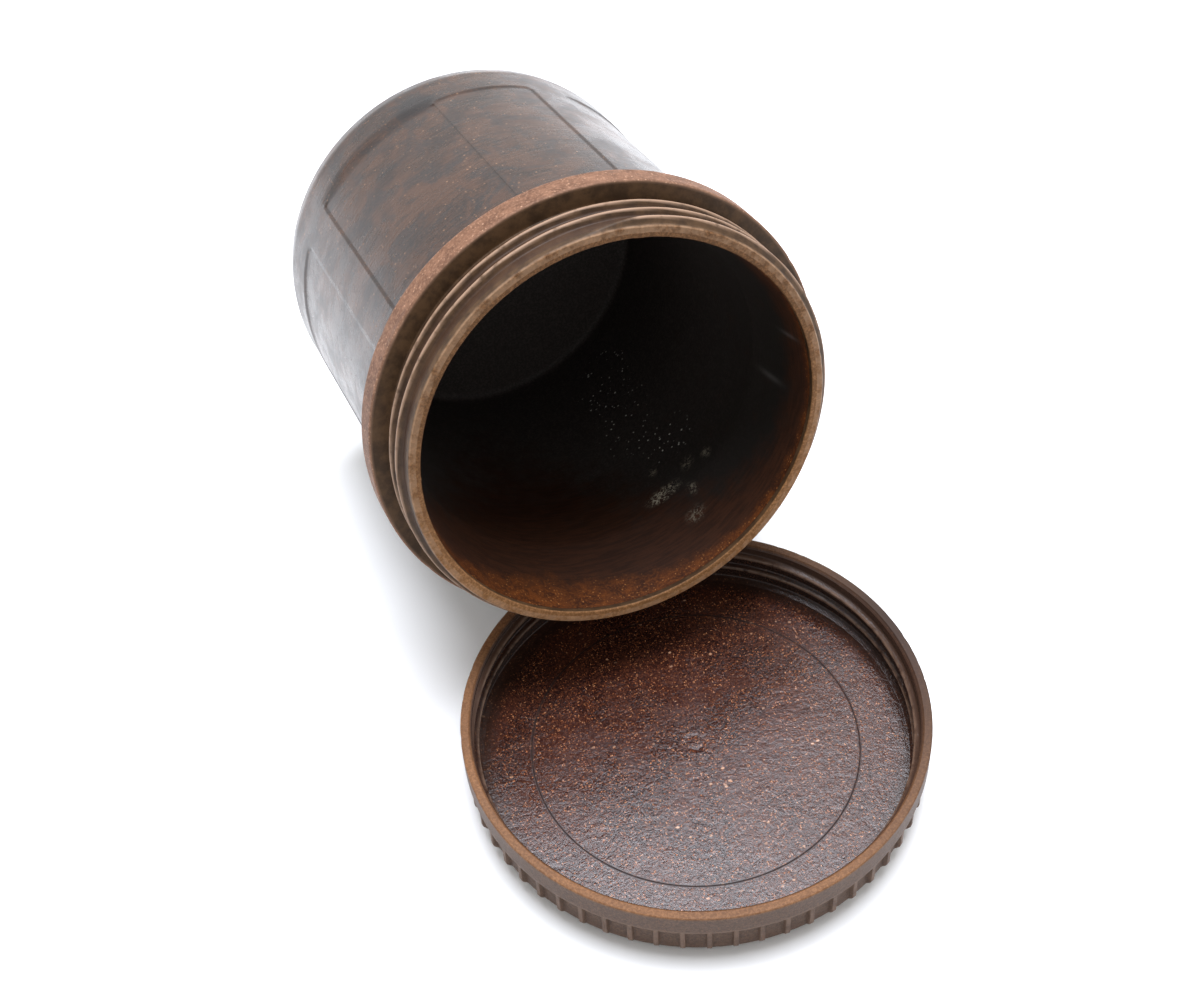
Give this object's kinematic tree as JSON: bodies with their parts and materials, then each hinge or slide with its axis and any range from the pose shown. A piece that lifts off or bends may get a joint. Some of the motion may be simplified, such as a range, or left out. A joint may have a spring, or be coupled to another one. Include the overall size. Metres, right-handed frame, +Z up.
{
  "type": "inkwell",
  "caption": "Moulded phenolic travelling inkwell: a faceted round jar with a screw neck, leaning open on its ribbed screw lid.",
  "frame": {"origin": "centre of the lid's closed face, which lies on the table", "axes": "+Z up out of the open lid; +Y towards the jar, which stands on the edge of its base behind the lid with its mouth facing -Y and upwards"},
  "size_m": [0.071, 0.1349, 0.0785],
  "materials": {
    "jar_phenolic": "satin",
    "lid_phenolic": "satin"
  },
  "bodies": {
    "lid": {"lid": "lid_phenolic"},
    "jar": {"jar": "jar_phenolic"}
  },
  "joints": [
    {"name": "jar_tip", "type": "hinge", "parent": "lid", "child": "jar", "pos_m": [0.0008, 0.08517, 0.001], "axis": [-1, 0, 0], "range_deg": [0, 77]}
  ]
}
